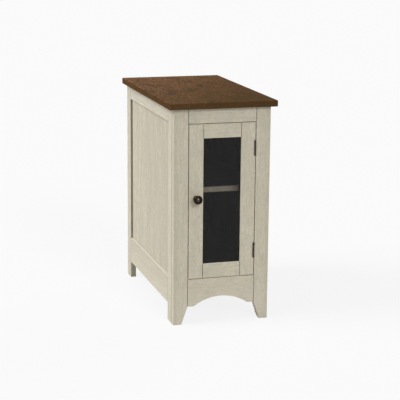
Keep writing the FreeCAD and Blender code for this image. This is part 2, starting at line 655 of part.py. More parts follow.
def door_stile(side):
    """Stile of the door, rebated at the back of its inner edge and mortised for the rails."""
    body = new_body(f"door_stile_{side_name(side)}", f"{side} * {DOOR_X}", FRONT, DOOR_BOTTOM)
    width = "size.door_stile_width"
    block(body, "Pad", (from_outside(side, "0", width), "0", "0"),
          (width, "size.door_thickness", DOOR_HEIGHT))
    break_edges(body, "Chamfer", "size.edge_break", on_plane("y"))
    edge = f"({width} - size.glass_rebate)"
    block(body, "Pocket", (from_outside(side, edge, width), "size.door_lip", "0"),
          ("size.glass_rebate", "size.door_thickness - size.door_lip", DOOR_HEIGHT))
    for height, bottom in (("size.door_bottom_rail_height", "0"),
                           ("size.door_top_rail_height", f"{SIGHT_TOP} - {DOOR_BOTTOM}")):
        mortise(body, side, edge, "size.door_thickness", height, bottom, "size.door_tenon_length")
    if side == LEFT:
        round_bar(body, "Pocket", "XZ_Plane", (f"{width} / 2", "0", f"size.knob_height - {DOOR_BOTTOM}"),
                  KNOB_BORE, "size.door_thickness")
    else:
        hinge_seats(body)


def hinge_seats(body):
    """Let both hinges into the right-hand edge of the door."""
    leaf = block(body, "Pocket", ("-size.hinge_leaf_thickness", "0", "size.hinge_inset"),
                 ("size.hinge_leaf_thickness", "size.hinge_leaf_depth - size.hinge_proud",
                  "size.hinge_height"))
    tip = "(size.hinge_tip_diameter / 2 + size.hinge_relief)"
    centre = (f"{HINGE_X} - {DOOR_X}", "-size.hinge_proud", f"size.hinge_inset - {tip}")
    barrel = round_bar(body, "Pocket", "XY_Plane", centre, RELIEF, f"size.hinge_height + 2 * {tip}")
    repeat(body, [leaf, barrel], ("Z_Axis", HINGE_SPACING, "2"))


def door_rail(label, bottom, height, rebate_bottom):
    """Rail of the door: its back shoulders are longer than the front ones, to fill the rebates."""
    body = new_body(label, "0", FRONT, bottom)
    block(body, "Pad", (f"-{SIGHT_X}", "0", "0"), (f"2 * {SIGHT_X}", "size.door_thickness", height))
    break_edges(body, "Chamfer", "size.edge_break", on_plane("y"))
    behind_lip = "size.door_thickness - size.door_lip"
    block(body, "Pad", (f"-{REBATE_X}", "size.door_lip", "0"), (f"2 * {REBATE_X}", behind_lip, height))
    block(body, "Pocket", (f"-{REBATE_X}", "size.door_lip", rebate_bottom),
          (f"2 * {REBATE_X}", behind_lip, "size.glass_rebate"))
    tenons(body, REBATE_X, "size.door_thickness", height, "size.door_tenon_length")


def door_rails():
    top_height, bottom_height = "size.door_top_rail_height", "size.door_bottom_rail_height"
    door_rail("door_top_rail", SIGHT_TOP, top_height, "0")
    door_rail("door_bottom_rail", DOOR_BOTTOM, bottom_height, f"{bottom_height} - size.glass_rebate")


def door_glass():
    """Pane behind the lip."""
    half = f"({REBATE_X} - size.glass_play)"
    body = new_body("door_glass", "0", f"{FRONT} + size.door_lip", f"{REBATE_BOTTOM} + size.glass_play")
    block(body, "Pad", (f"-{half}", "0", "0"),
          (f"2 * {half}", "size.glass_thickness", f"{REBATE_TOP} - {REBATE_BOTTOM} - 2 * size.glass_play"))


def glass_beads():
    """Four mitred beads that hold the pane from behind."""
    outer = [(f"{x} * {REBATE_X}", z) for z in (REBATE_BOTTOM, REBATE_TOP) for x in (LEFT, RIGHT)]
    inner = [(f"{x} * {SIGHT_X}", z) for z in (SIGHT_BOTTOM, SIGHT_TOP) for x in (LEFT, RIGHT)]
    corners_of = {"bottom": (0, 1), "right": (1, 3), "top": (3, 2), "left": (2, 0)}
    for name, (first, second) in corners_of.items():
        body = new_body(f"glass_bead_{name}", "0", f"{FRONT} + size.door_lip + size.glass_thickness")
        corners = [outer[first], outer[second], inner[second], inner[first]]
        extrude(body, "Pad", "XZ_Plane", "size.bead_depth", draw_outline, corners)


def knob():
    """Turned knob: foot, neck, and a head whose face has a sunk ring round a boss."""
    body = new_body("knob", f"-{KNOB_X}", FRONT, "size.knob_height")
    foot, neck = "size.knob_base_diameter / 2", "size.knob_neck_diameter / 2"
    head, ring = "size.knob_diameter / 2", "size.knob_ring_diameter / 2"
    boss, face = "size.knob_boss_diameter / 2", "size.knob_projection"
    under = "(size.knob_projection - size.knob_head_thickness)"
    dish = "(size.knob_projection - size.knob_ring_depth)"
    corners = [
        ("0", "0"),
        (foot, "0"),
        (foot, "-size.knob_base_thickness"),
        (neck, "-size.knob_base_thickness"),
        (neck, f"-{under}"),
        (f"{head} - size.knob_rim_slope", f"-{under}"),
        (head, f"-{under} - size.knob_rim_slope"),
        (head, f"-{face} + size.knob_ring_depth"),
        (f"{head} - size.knob_ring_depth", f"-{face}"),
        (ring, f"-{face}"),
        (ring, f"-{dish}"),
        (boss, f"-{dish}"),
        (boss, f"-{face}"),
        ("0", f"-{face}"),
    ]
    revolve(body, "XY_Plane", "V_Axis", corners)
    round_bar(body, "Pocket", "XZ_Plane", ("0", "-size.knob_bore_depth", "0"), KNOB_BORE,
              "size.knob_bore_depth")


def knob_screw():
    """Machine screw that draws the knob against the door."""
    body = new_body("knob_screw", f"-{KNOB_X}", DOOR_BACK, "size.knob_height")
    reach = "(size.door_thickness + size.knob_screw_reach)"
    round_bar(body, "Pad", "XZ_Plane", ("0", f"-{reach}", "0"), "size.knob_screw_diameter / 2", reach)
    round_bar(body, "Pad", "XZ_Plane", ORIGIN, "size.knob_screw_head / 2",
              "size.knob_screw_head_height")


# ---- hinges ----

def leaf_outline(tabs, inner_half):
    """Outline of a leaf, from its rear edge round the tabs that reach the pin's axis. Beside the
    tabs the plate is cut back clear of the other half's knuckles."""
    edge = []
    for bottom, top in reversed(tabs):
        edge += [(RELIEF, top), ("0", top), ("0", bottom), (RELIEF, bottom)]
    edge = [(RELIEF, "size.hinge_height"), *edge, (RELIEF, "0")] if inner_half else edge[1:-1]
    return [("size.hinge_leaf_depth", "0"), ("size.hinge_leaf_depth", "size.hinge_height"), *edge]


def hinge_leaves(part, first_knuckle, leaf_x, gap):
    """The same half of both hinges, with every second knuckle."""
    body = new_body(f"hinge_{part}_leaves", HINGE_X, HINGE_Y, HINGE_BOTTOM)
    count = round(value("size.hinge_knuckles"))
    tabs = [(f"{KNUCKLE} * {index} + {gap}", f"{KNUCKLE} * {index + 1} - {gap}")
            for index in range(first_knuckle, count, 2)]
    features = [extrude(body, "Pad", "YZ_Plane", "size.hinge_leaf_thickness", draw_outline,
                        leaf_outline(tabs, inner_half=first_knuckle > 0), at=(leaf_x, "0", "0"))]
    for bottom, top in tabs:
        features.append(round_bar(body, "Pad", "XY_Plane", ("0", "0", bottom), BARREL,
                                  f"{top} - ({bottom})"))
    bore = "size.hinge_pin_diameter / 2 + size.hinge_pin_play"
    features.append(round_bar(body, "Pocket", "XY_Plane", ORIGIN, bore, "size.hinge_height"))
    repeat(body, features, ("Z_Axis", HINGE_SPACING, "2"))


def hinge_pins():
    """A pin for each hinge, with a ball tip at each end of the barrel."""
    body = new_body("hinge_pins", HINGE_X, HINGE_Y, HINGE_BOTTOM)
    pin, tip, top = "size.hinge_pin_diameter / 2", "size.hinge_tip_diameter / 2", "size.hinge_height"
    corners = [("0", f"-{tip}", ORIGIN[:2], 1), (tip, "0"), (pin, "0"), (pin, top),
               (tip, top, ("0", top), 1), ("0", f"{top} + {tip}")]
    repeat(body, [revolve(body, "XZ_Plane", "V_Axis", corners)], ("Z_Axis", HINGE_SPACING, "2"))


def hinges():
    frame_leaf_x = f"({OPENING_X} - size.hinge_leaf_thickness - {HINGE_X})"
    door_leaf_x = f"({DOOR_X} - size.hinge_leaf_thickness - {HINGE_X})"
    hinge_leaves("frame", 0, frame_leaf_x, "0")
    hinge_leaves("door", 1, door_leaf_x, "size.hinge_knuckle_gap")
    hinge_pins()


# ---- catch ----

def strike_plate():
    """Steel plate on the back of the door."""
    body = new_body("strike_plate", f"-{STRIKE_X}", DOOR_BACK, STRIKE_Z)
    block(body, "Pad", ("-size.strike_width / 2", "0", "-size.strike_height / 2"),
          ("size.strike_width", "size.strike_thickness", "size.strike_height"))


def magnetic_catch():
    """Catch under the stretcher: a housing with a fixing flange, and the magnet in its mouth."""
    body = new_body("catch_housing", f"-{STRIKE_X}", CATCH_Y, OPENING_TOP)
    block(body, "Pad", ("-size.catch_width / 2", "0", "-size.catch_height"),
          ("size.catch_width", "size.catch_depth", "size.catch_height"))
    block(body, "Pad", ("-size.catch_ear_width / 2", "0", "-size.catch_ear_thickness"),
          ("size.catch_ear_width", "size.catch_depth", "size.catch_ear_thickness"))
    magnet_z = f"{STRIKE_Z} - {OPENING_TOP} - size.magnet_height / 2"
    block(body, "Pocket", ("-size.magnet_width / 2", "0", magnet_z),
          ("size.magnet_width", "size.magnet_depth", "size.magnet_height"))
    magnet = new_body("catch_magnet", f"-{STRIKE_X}", CATCH_Y, OPENING_TOP)
    block(magnet, "Pad", ("-size.magnet_width / 2", "-size.magnet_proud", magnet_z),
          ("size.magnet_width", "size.magnet_proud + size.magnet_depth", "size.magnet_height"))


# ---- all sub-parts ----

def build():
    for side in (LEFT, RIGHT):
        face_stile(side)
        side_front_stile(side)
        side_rear_stile(side)
        side_rails(side)
        side_panel(side)
        cleats(side)
        door_stile(side)
    face_top_rail()
    face_apron()
    front_stretcher()
    back_rails()
    back_panel()
    deck()
    corner_blocks()
    top_panel()
    shelf()
    shelf_pins()
    door_rails()
    door_glass()
    glass_beads()
    knob()
    knob_screw()
    hinges()
    strike_plate()
    magnetic_catch()
    document.recompute()


def check():
    """Stop on a failed object, a cut that removes nothing, or a body without valid solids."""
    for item in document.Objects:
        if "Invalid" in item.State or "Error" in item.State:
            raise RuntimeError(f"{item.Name} failed: {item.State}")
        if item.TypeId in ("PartDesign::Pocket", "PartDesign::Chamfer"):
            if item.Shape.Volume >= item.BaseFeature.Shape.Volume - TOUCH:
                raise RuntimeError(f"{item.Name} removes nothing")
    for body in document.findObjects("PartDesign::Body"):
        if body.Shape.isNull() or not body.Shape.isValid() or not body.Shape.Solids:
            raise RuntimeError(f"{body.Label} has no valid solid")


def export():
    os.makedirs("parts", exist_ok=True)
    for body in document.findObjects("PartDesign::Body"):
        body.Shape.exportStep(f"parts/{body.Label}.step")


build()
check()
export()
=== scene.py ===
import json
import math
from collections import namedtuple
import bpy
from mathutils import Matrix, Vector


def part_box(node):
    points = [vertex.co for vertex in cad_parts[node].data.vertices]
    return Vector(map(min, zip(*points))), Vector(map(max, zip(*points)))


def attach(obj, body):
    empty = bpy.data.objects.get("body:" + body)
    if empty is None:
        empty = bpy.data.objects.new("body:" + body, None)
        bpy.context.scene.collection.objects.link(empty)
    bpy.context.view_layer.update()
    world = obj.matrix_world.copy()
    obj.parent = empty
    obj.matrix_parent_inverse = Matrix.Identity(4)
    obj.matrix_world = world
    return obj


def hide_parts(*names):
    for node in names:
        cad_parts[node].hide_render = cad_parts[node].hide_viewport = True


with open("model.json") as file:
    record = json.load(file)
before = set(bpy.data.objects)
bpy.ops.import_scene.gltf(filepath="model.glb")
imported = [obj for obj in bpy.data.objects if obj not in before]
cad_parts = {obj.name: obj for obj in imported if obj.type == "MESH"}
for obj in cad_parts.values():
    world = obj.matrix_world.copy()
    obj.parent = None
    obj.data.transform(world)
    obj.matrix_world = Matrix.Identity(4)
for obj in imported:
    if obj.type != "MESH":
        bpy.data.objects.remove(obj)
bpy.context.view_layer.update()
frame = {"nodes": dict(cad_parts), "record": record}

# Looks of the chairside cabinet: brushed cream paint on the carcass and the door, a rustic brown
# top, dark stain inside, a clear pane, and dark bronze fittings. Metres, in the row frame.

from fnmatch import fnmatchcase

import bmesh
import bpy
from mathutils import Matrix, Vector

cad = frame["nodes"]
slots = {part["node"]: part["material_slot"] for part in frame["record"]["subparts"]}

MM = 0.001

# Camera, from the straight edges in the photograph.
CAMERA_PLACE = (-1.0456, -3.5604, 1.1327)
CAMERA_YAW, CAMERA_PITCH, CAMERA_ROLL = 16.58, 12.76, 0.48  # degrees: to the right, down, leaning
LENS, SENSOR = 116.34, 36.0

# Light. A sun's direction points from the object to the sun.
WORLD_LEVEL = 0.24       # strength of the even light from all round
WHITE = 0.975            # strength of the white that is seen behind the object
SUNS = {
    "sun_left": {"towards": (-0.74, 0.08, 0.67), "level": 0.99, "softness": 32},
    "sun_front": {"towards": (0.16, -0.86, 0.48), "level": 0.48, "softness": 16},
    "sun_high": {"towards": (-0.30, -0.32, 0.90), "level": 0.14, "softness": 30},
    "sun_right": {"towards": (0.72, -0.67, 0.16), "level": 0.045, "softness": 5},
    "sun_rear": {"towards": (0.80, 0.52, 0.30), "level": 0.35, "softness": 30},
}
FLOOR_SIZE = 60.0
FLOOR_COLOUR = (0.62, 0.62, 0.62)
FLOOR_DULL = tuple(0.985 * level for level in FLOOR_COLOUR)
FLOOR_GLOW = 0.88        # share of the floor that shows plain white, which softens its shadows

# Linear colours.
CREAM = (0.540, 0.496, 0.390)
CREAM_PALE = (0.600, 0.556, 0.445)
CREAM_SHADE = (0.370, 0.332, 0.250)
CREAM_GREY = (0.480, 0.455, 0.385)
# paint on faces that look up, paler as painted light from above
CREAM_LIT_FROM_ABOVE = (0.580, 0.552, 0.480)
# glaze in the grain, grooves and seams, and painted shade on recess walls and the shelf lipping
GLAZE_AND_SHADE = (0.115, 0.090, 0.060)
WORN = (0.150, 0.095, 0.055)
TOP_BROWN = (0.178, 0.097, 0.048)
TOP_DARK = (0.053, 0.032, 0.015)
TOP_RED = (0.205, 0.098, 0.058)
TOP_OLIVE = (0.134, 0.096, 0.041)
TOP_GREY = (0.074, 0.058, 0.048)
# upright faces of the top: darker, partly the stain's own tone, partly as the upper face carries
# painted sheen
TOP_EDGE_WITHOUT_SHEEN = (0.064, 0.033, 0.010)
STAIN = (0.018, 0.016, 0.016)
STAIN_PALE = (0.034, 0.031, 0.030)
PINE = (0.55, 0.37, 0.20)
PINE_DARK = (0.36, 0.21, 0.10)
HARDBOARD = (0.160, 0.096, 0.052)
HARDBOARD_DARK = (0.120, 0.070, 0.038)
BRONZE_BLACK = (0.014, 0.008, 0.003)
BRONZE = (0.038, 0.028, 0.020)
BRONZE_RUBBED = (0.100, 0.082, 0.066)
HINGE_BRONZE = (0.045, 0.032, 0.024)
HINGE_RUBBED = (0.16, 0.13, 0.10)
ZINC = (0.46, 0.45, 0.42)
ZINC_RUBBED = (0.66, 0.65, 0.62)
PLASTIC = (0.052, 0.026, 0.014)
PLASTIC_PALE = (0.068, 0.036, 0.020)
PANE = (0.62, 0.61, 0.60)
PANE_DUSTY = (0.59, 0.58, 0.57)
PANE_SHADOW = (0.38, 0.375, 0.365)   # what the pane leaves of a lamp's light
PANE_IOR = 1.25          # below real glass, so that the pane mirrors little of the white studio

# What the finish of these boards adds to the plain one. A later line wins.
BOARD_OPTIONS = {
    "side_*": {"aged": 0.0, "painted_floor_light": 0.0, "stained_inside": True},
    "side_*_panel": {"panel": True, "mottled": 0.75, "mottle_scale": (84, 58)},
    "side_*_bottom_rail": {"aged": 0.42, "painted_floor_light": 0.4},
    # The lipping's high shares of shade and glaze are painted shade, for the shade inside the
    # cabinet.
    "shelf_lipping": {"aged": 0.9, "glaze_as_painted_shade": 0.35},
    "back_panel": {"raw_rear": True},
}
UPRIGHT_GRAIN = ("side_*_panel", "back_panel", "corner_blocks")

GROOVE = 0.9 * MM        # half the width of a V-groove, and its depth
SEAM = 1.6 * MM          # half the width of the glaze along the seam behind the face frame
SLIVER = 0.1 * MM        # by which the painted shade's box passes, or stays clear of, a recess's edges
LIP = 0.6 * MM           # of a recess wall beside the outer faces that stays free of painted shade
STAIN_START = 0.5 * MM   # from the face frame's rear to the stain on the sides' inner faces
STAIN_DEPTH = 0.3 * MM   # of that stain, into the sides
BEYOND = 1.0             # a place past the rear and the top of the whole cabinet

BOSS = 6.0 * MM          # radius of the knob's domed middle
SEGMENTS = 48            # round a turned piece

LEAF_SCREW = 2.7 * MM    # radius of a hinge screw's head
WOOD_SCREW = 3.2 * MM    # radius of the other screws' heads
SCREW_SEGMENTS = 32
SCREW_TURN = 37          # degrees from one cross to the next, so that they stand at all angles
LEAF_ENDS = (8 * MM, 32 * MM)    # from a hinge's outer end to its two screws
LEAF_INSET = 6.5 * MM    # from a leaf's rear edge to its screws
CATCH_INSET = 5.0 * MM   # from the catch's ends to its screws
CATCH_EAR = 2.2 * MM     # thickness of the catch's ears
BACK_INSET = 4.5 * MM    # from the back panel's upright edges to its screws
END_INSET = 60.0 * MM    # from the ends of the back panel and the cleats to their screws
LEFT, RIGHT, REARWARD, DOWN = (-1, 0, 0), (1, 0, 0), (0, 1, 0), (0, 0, -1)

# Where a screw's head sits, which way it faces, its radius, what it rides on, and its slot.
Seat = namedtuple("Seat", "place towards radius body slot",
                  defaults=(WOOD_SCREW, "cabinet", "plated_steel"))


class Tree:
    """Short ways to add and join shader nodes."""

    def __init__(self, tree):
        self.tree = tree

    def add(self, kind, **settings):
        node = self.tree.nodes.new(f"ShaderNode{kind}")
        for name, setting in settings.items():
            setattr(node, name, setting)
        return node

    def feed(self, socket, item):
        """Give a socket a link, a number or a colour."""
        if isinstance(item, bpy.types.NodeSocket):
            self.tree.links.new(item, socket)
        elif socket.type == "RGBA" and len(item) == 3:
            socket.default_value = (*item, 1)
        else:
            socket.default_value = item

    def calculate(self, operation, *items):
        node = self.add("Math", operation=operation)
        for socket, item in zip(node.inputs, items):
            self.feed(socket, item)
        return node.outputs[0]

    def seen(self):
        """1 for what the camera sees directly, in a reflection or through glass."""
        path = self.add("LightPath")
        mirrored = self.calculate("MAXIMUM", path.outputs["Is Glossy Ray"],
                                  path.outputs["Is Transmission Ray"])
        return self.calculate("MAXIMUM", path.outputs["Is Camera Ray"], mirrored)

    def mixed(self, factor, first, second):
        """Mix of two shaders."""
        node = self.add("MixShader")
        for socket, item in zip(node.inputs, (factor, first, second)):
            self.feed(socket, item)
        return node.outputs[0]


class Recipe(Tree):
    """A material and the nodes behind it."""

    def __init__(self, name):
        self.material = bpy.data.materials.new(name)
        self.material.use_nodes = True
        super().__init__(self.material.node_tree)
        self.surface = self.tree.nodes["Principled BSDF"]
        coordinates = self.add("TexCoord")
        self.place = coordinates.outputs["Object"]
        self.normal = self.split(coordinates.outputs["Normal"])
        x, y, z = self.split(self.place)
        self.folded = (self.calculate("ABSOLUTE", x), y, z)

    def split(self, vector):
        node = self.add("SeparateXYZ")
        self.feed(node.inputs[0], vector)
        return list(node.outputs)

    def levels(self, item, low, high, least=0.0, most=1.0):
        """Stretch the range from low to high to the range from least to most, with soft ends."""
        node = self.add("MapRange", interpolation_type="SMOOTHSTEP")
        for name, setting in (("Value", item), ("From Min", low), ("From Max", high),
                              ("To Min", least), ("To Max", most)):
            self.feed(node.inputs[name], setting)
        return node.outputs["Result"]

    def blend(self, factor, first, second):
        node = self.add("Mix", data_type="RGBA")
        colours = [socket for socket in node.inputs if socket.type == "RGBA"]
        for socket, item in zip((node.inputs["Factor"], *colours), (factor, first, second)):
            self.feed(socket, item)
        return next(socket for socket in node.outputs if socket.type == "RGBA")

    def tinted(self, colour, *layers):
        """Lay tints over a colour. A layer is a tint and what `levels` needs for its share."""
        for tint, *share in layers:
            colour = self.blend(self.levels(*share), colour, tint)
        return colour

    def noise(self, per_metre, detail=2.0, roughness=0.5, distortion=0.0, offset=(0, 0, 0)):
        """Noise with its own number of features per metre along x, y and z."""
        mapping = self.add("Mapping")
        self.feed(mapping.inputs["Vector"], self.place)
        self.feed(mapping.inputs["Scale"], per_metre)
        self.feed(mapping.inputs["Location"], offset)
        node = self.add("TexNoise")
        for name, setting in (("Vector", mapping.outputs[0]), ("Scale", 1.0), ("Detail", detail),
                              ("Roughness", roughness), ("Distortion", distortion)):
            self.feed(node.inputs[name], setting)
        return node.outputs[0]

    def inside(self, low, high):
        """1 in the box between two corners, and in its mirror image across x = 0."""
        share = 1.0
        for place, start, end in zip(self.folded, low, high):
            within = self.calculate("COMPARE", place, (start + end) / 2, (end - start) / 2)
            share = self.calculate("MULTIPLY", share, within)
        return share

    def near_edges(self, radius, low, high):
        """1 along the edges of the mesh, 0 on the faces between them."""
        rounded = self.add("Bevel", samples=4)
        self.feed(rounded.inputs["Radius"], radius)
        flat = self.add("NewGeometry").outputs["True Normal"]
        product = self.add("VectorMath", operation="DOT_PRODUCT")
        self.feed(product.inputs[0], rounded.outputs[0])
        self.feed(product.inputs[1], flat)
        turned = self.calculate("SUBTRACT", 1.0, product.outputs["Value"])
        return self.levels(turned, low, high)

    def finish(self, colour, roughness, height=None, depth=0.0, metallic=0.0, specular=0.5):
        self.feed(self.surface.inputs["Base Color"], colour)
        self.feed(self.surface.inputs["Roughness"], roughness)
        self.feed(self.surface.inputs["Metallic"], metallic)
        self.feed(self.surface.inputs["Specular IOR Level"], specular)
        if height is not None:
            bump = self.add("Bump")
            self.feed(bump.inputs["Height"], height)
            self.feed(bump.inputs["Distance"], depth)
            self.feed(self.surface.inputs["Normal"], bump.outputs[0])
        return self.material


def across(grain, over, along):
    """Features per metre on each axis, for a grain that runs along one of them."""
    return tuple(along if axis == grain else over for axis in "XYZ")


# ---- cream paint ----

def right_side(part):
    """Box of a board of the right side. Folded coordinates make it stand for both sides."""
    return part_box(f"side_right_{part}")


def groove(x, y, rail):
    """Box round the upright V-groove at the end of a rail."""
    bottom, top = (corner.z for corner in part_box(rail))
    return (x - GROOVE, y - GROOVE, bottom), (x + GROOVE, y + GROOVE, top)


def groove_boxes():
    """Boxes round the V-grooves between boards, for positive x."""
    boxes = []
    for stile, rails in (("face_stile_right", ("face_top_rail", "face_apron")),
                         ("door_stile_right", ("door_top_rail", "door_bottom_rail"))):
        x, y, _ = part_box(stile)[0]
        boxes += [groove(x, y, rail) for rail in rails]
    x, seam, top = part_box("face_stile_right")[1]
    boxes.append(((x - GROOVE, seam - SEAM, 0), (x + GROOVE, seam + SEAM, top)))
    ends = (right_side("front_stile")[1].y, right_side("rear_stile")[0].y)
    for rail in ("side_right_top_rail", "side_right_bottom_rail"):
        boxes += [groove(x, y, rail) for y in ends]
    return boxes


def recess_walls():
    """Box that holds the walls round a side's panel, but none of the boards' outer faces."""
    front, rear = right_side("front_stile"), right_side("rear_stile")
    bottom, top = right_side("bottom_rail")[1].z, right_side("top_rail")[0].z
    return ((right_side("panel")[1].x + SLIVER, front[1].y - SLIVER, bottom - SLIVER),
            (front[1].x - LIP, rear[0].y + SLIVER, top + SLIVER))


def inner_faces():
    """Box that holds the inner faces of both sides above the deck's lower face."""
    frame_rear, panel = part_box("face_stile_right")[1].y, right_side("panel")[0].x
    return ((0, frame_rear + STAIN_START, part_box("deck_panel")[0].z),
            (panel + STAIN_DEPTH, BEYOND, BEYOND))


def panel_tones(paint, colour, grain):
    """A panel's long streaks, a pale strip at its rear that is painted light, and paint darker
    towards the front with painted shade beside the front stile.
    """
    y = paint.folded[1]
    front, rear = right_side("front_stile")[1].y, right_side("rear_stile")[0].y
    streaks = paint.noise(across(grain, 52, 4), detail=2, offset=(4, 4, 6))
    # The pale strip beside the rear stile is painted light.
    colour = paint.tinted(colour, (CREAM_SHADE, streaks, 0.42, 0.6, 0, 0.42),
                          (CREAM_PALE, y, rear - 36 * MM, rear - 6 * MM, 0, 0.5))
    # Darker towards the front, with painted shade in the strip beside the front stile.
    shade = paint.calculate("ADD", paint.levels(y, 160 * MM, -60 * MM, 0, 0.36),
                            paint.levels(y, front + 50 * MM, front + 28 * MM, 0, 0.45))
    return paint.blend(shade, colour, CREAM_SHADE)


def frame_tones(paint, colour, painted_floor_light):
    """A frame's paint, paler towards its feet as painted light from the floor, and darker within
    20 mm of its front corners.
    """
    x, y, z = paint.folded
    low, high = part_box("face_stile_right")
    from_corner = paint.calculate("ADD", paint.calculate("SUBTRACT", high.x, x),
                                  paint.calculate("SUBTRACT", y, low.y))
    # Paler towards the floor: painted light from the floor. Darker near the front corners.
    return paint.tinted(colour, (CREAM_PALE, z, 160 * MM, 20 * MM, 0, painted_floor_light),
                        (CREAM_SHADE, from_corner, 20 * MM, 0, 0, 0.4))


def highlit_and_worn_edges(paint, colour):
    """Edges rubbed pale, as painted highlights, with specks worn to bare wood."""
    specks = paint.noise((330, 330, 330), detail=3, offset=(8, 1, 4))
    edges = paint.near_edges(1.6 * MM, 0.02, 0.2)
    # Painted highlight: the edges are paler, as if catching light.
    colour = paint.blend(paint.calculate("MULTIPLY", edges, 0.7), colour, CREAM_PALE)
    bare = paint.calculate("MULTIPLY", edges, paint.levels(specks, 0.56, 0.66, 0, 0.8))
    return paint.blend(bare, colour, WORN)


def glazed_grooves_and_shaded_walls(paint, colour, fibres):
    """Glaze left in the V-grooves and seams, and painted shade on the steep walls round the side
    panels.
    """
    grooves = 0.0
    for low, high in groove_boxes():
        grooves = paint.calculate("MAXIMUM", grooves, paint.inside(low, high))
    filled = paint.calculate("MULTIPLY", grooves, paint.levels(fibres, 0.3, 0.6, 0.6, 0.95))
    # Painted shade on the recess walls; faces that look up stay clear of it.
    steep = paint.levels(paint.normal[2], 0.3, 0.7, 0.5, 0)
    walls = paint.calculate("MULTIPLY", paint.inside(*recess_walls()), steep)
    return paint.blend(walls, paint.blend(filled, colour, GLAZE_AND_SHADE), GLAZE_AND_SHADE)


def cream_paint(grain, aged=0.06, mottled=0.32, mottle_scale=(110, 45), painted_floor_light=0.3, glaze_as_painted_shade=0.0,
                stained_inside=False, panel=False):
    """Paint brushed along the wood, with dark glaze in its grain and grooves, painted shade on
    the walls of its recesses, and painted light on faces that look up.

    aged is the share of shade all over, mottled that in the mottle, footed how far the paint
    pales towards the floor as painted light from the floor, and glazed the share of glaze all
    over as painted shade. mottle_scale is the mottle's features per metre, over and along the
    grain.
    """
    paint = Recipe(f"cream_paint_{grain.lower()}")
    clouds = paint.noise((6, 6, 6), detail=3)
    tints = paint.noise((30, 12, 30), detail=2, offset=(1, 4, 7))
    bands = paint.noise(across(grain, 150, 7), detail=3)
    fibres = paint.noise(across(grain, 420, 30), detail=4, roughness=0.6)
    pores = paint.noise(across(grain, 1300, 90), detail=2, offset=(3, 5, 7))
    flecks = paint.noise(across(grain, 420, 260), detail=2, offset=(2, 6, 1))
    mottle = paint.noise(across(grain, *mottle_scale), detail=4, roughness=0.75, offset=(5, 9, 2))
    colour = paint.tinted(
        CREAM,
        (CREAM_PALE, clouds, 0.35, 0.65, 0, 0.45),
        (CREAM_GREY, tints, 0.42, 0.6, 0, 0.6),
        (CREAM_SHADE, bands, 0.42, 0.62, 0, 0.22),
        (CREAM_SHADE, fibres, 0.48, 0.68, 0, 0.65),
        (CREAM_SHADE, flecks, 0.43, 0.64, aged, 0.46 + aged),
        (CREAM_SHADE, mottle, 0.42, 0.64, 0, mottled))
    if panel:
        colour = panel_tones(paint, colour, grain)
    else:
        colour = frame_tones(paint, colour, painted_floor_light)
    # Painted light: faces that look up are paler, as if lit from above.
    colour = paint.tinted(colour, (CREAM_LIT_FROM_ABOVE, paint.normal[2], 0.3, 0.9, 0, 0.9))
    # Painted shade: a share of glaze colour all over, for boards that stand in shade.
    colour = paint.blend(glaze_as_painted_shade, colour, GLAZE_AND_SHADE)
    colour = paint.tinted(colour, (GLAZE_AND_SHADE, pores, 0.6, 0.72, 0, 0.45))
    colour = glazed_grooves_and_shaded_walls(paint, highlit_and_worn_edges(paint, colour), fibres)
    if stained_inside:
        colour = paint.blend(paint.inside(*inner_faces()), colour, STAIN)
    height = paint.calculate("ADD", fibres, pores)
    roughness = paint.levels(bands, 0.3, 0.7, 0.45, 0.6)
    return paint.finish(colour, roughness, height, 0.15 * MM, specular=0.3)


# ---- other finishes ----

def brown_top():
    """Rustic stain: streaks along the grain, darker and redder patches, pores, worn edges, and
    painted sheen on its upper face.
    """
    stain = Recipe("brown_top")
    patches = stain.noise((24, 12, 24), detail=3, distortion=0.6)
    warmth = stain.noise((42, 17, 42), detail=3, distortion=0.4, offset=(9, 2, 4))
    streaks = stain.noise((210, 24, 210), detail=5, roughness=0.6, distortion=0.3)
    flecks = stain.noise((300, 60, 300), detail=3, roughness=0.7, offset=(7, 3, 5))
    pores = stain.noise((1100, 45, 1100), detail=2, offset=(4, 1, 8))
    x, y, _ = stain.split(stain.place)
    painted_sheen_slope = stain.calculate("SUBTRACT", y, stain.calculate("MULTIPLY", x, 1.5))
    flatness = stain.calculate("ABSOLUTE", stain.normal[2])
    colour = stain.tinted(
        TOP_BROWN,
        (TOP_RED, warmth, 0.45, 0.62),
        (TOP_OLIVE, warmth, 0.45, 0.30, 0, 0.6),
        (TOP_GREY, patches, 0.5, 0.68, 0, 0.6),
        (TOP_DARK, streaks, 0.48, 0.66, 0, 0.5),
        (TOP_DARK, flecks, 0.42, 0.62, 0, 0.75),
        (STAIN, pores, 0.58, 0.72, 0, 0.6),
        # Painted sheen: the upper face darkens towards the front right and lightens towards the
        # rear left.
        (TOP_DARK, painted_sheen_slope, 0.5, -0.5, 0, 0.8),
        # Upright faces darker than the upper face: partly the stain's tone, partly painted sheen
        # on the upper face.
        (TOP_EDGE_WITHOUT_SHEEN, flatness, 0.3, 0.8, 0.6, 0))
    rubbed = stain.calculate("MULTIPLY", stain.near_edges(1.5 * MM, 0.02, 0.2),
                             stain.levels(streaks, 0.4, 0.6, 0.1, 0.6))
    colour = stain.blend(rubbed, colour, TOP_DARK)
    height = stain.calculate("ADD", streaks, pores)
    roughness = stain.levels(patches, 0.3, 0.7, 0.62, 0.5)
    return stain.finish(colour, roughness, height, 0.15 * MM, specular=0.0)


